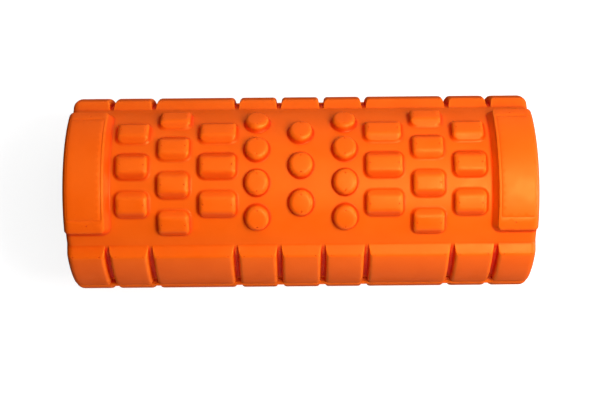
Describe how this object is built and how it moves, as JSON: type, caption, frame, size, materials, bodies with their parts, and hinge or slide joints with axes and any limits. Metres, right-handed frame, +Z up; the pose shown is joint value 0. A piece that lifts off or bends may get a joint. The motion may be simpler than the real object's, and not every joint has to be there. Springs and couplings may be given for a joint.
{
  "type": "foam roller",
  "caption": "Massage roller: rigid open-ended core tube inside two moulded foam half shells with round nubs, rectangular pads, smooth end bands and grooved side blocks.",
  "frame": {"origin": "centre of the roller, on its axis and halfway along it", "axes": "+X along the roller's axis, +Z up as the roller lies on its side; the middle line of the upper shell is turned 16 degrees from +Z towards +Y, as it lies in the picture"},
  "size_m": [0.33, 0.141, 0.141],
  "materials": {
    "core": "satin",
    "cement": "satin",
    "foam": "matte"
  },
  "bodies": {
    "root": {"core_tube": "core", "cement_film": "cement", "foam_shell_upper": "foam", "foam_shell_lower": "foam"}
  },
  "joints": []
}
